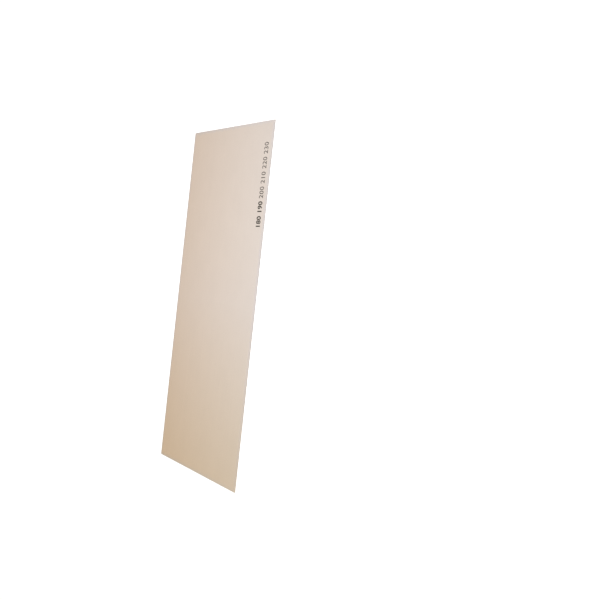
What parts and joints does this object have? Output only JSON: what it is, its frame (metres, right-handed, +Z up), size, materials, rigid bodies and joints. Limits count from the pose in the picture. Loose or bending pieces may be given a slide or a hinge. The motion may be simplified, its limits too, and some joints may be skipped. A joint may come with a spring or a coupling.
{
  "type": "drywall sheet",
  "caption": "Flat rectangular drywall sheet: a gypsum core faced with paper on both sides, with tapered long edges and square-cut ends, for lining walls and ceilings.",
  "frame": {"origin": "middle of the sheet's back, on the surface that it lies on", "axes": "+X along the length, +Y across the width, +Z up through the thickness, towards the face side with the tapered long margins"},
  "size_m": [2.5, 1.2, 0.0095],
  "materials": {
    "gypsum_core": "matte",
    "face_paper": "matte",
    "back_paper": "matte"
  },
  "bodies": {
    "root": {"gypsum_core": "gypsum_core", "face_paper": "face_paper", "back_paper": "back_paper"}
  },
  "joints": []
}
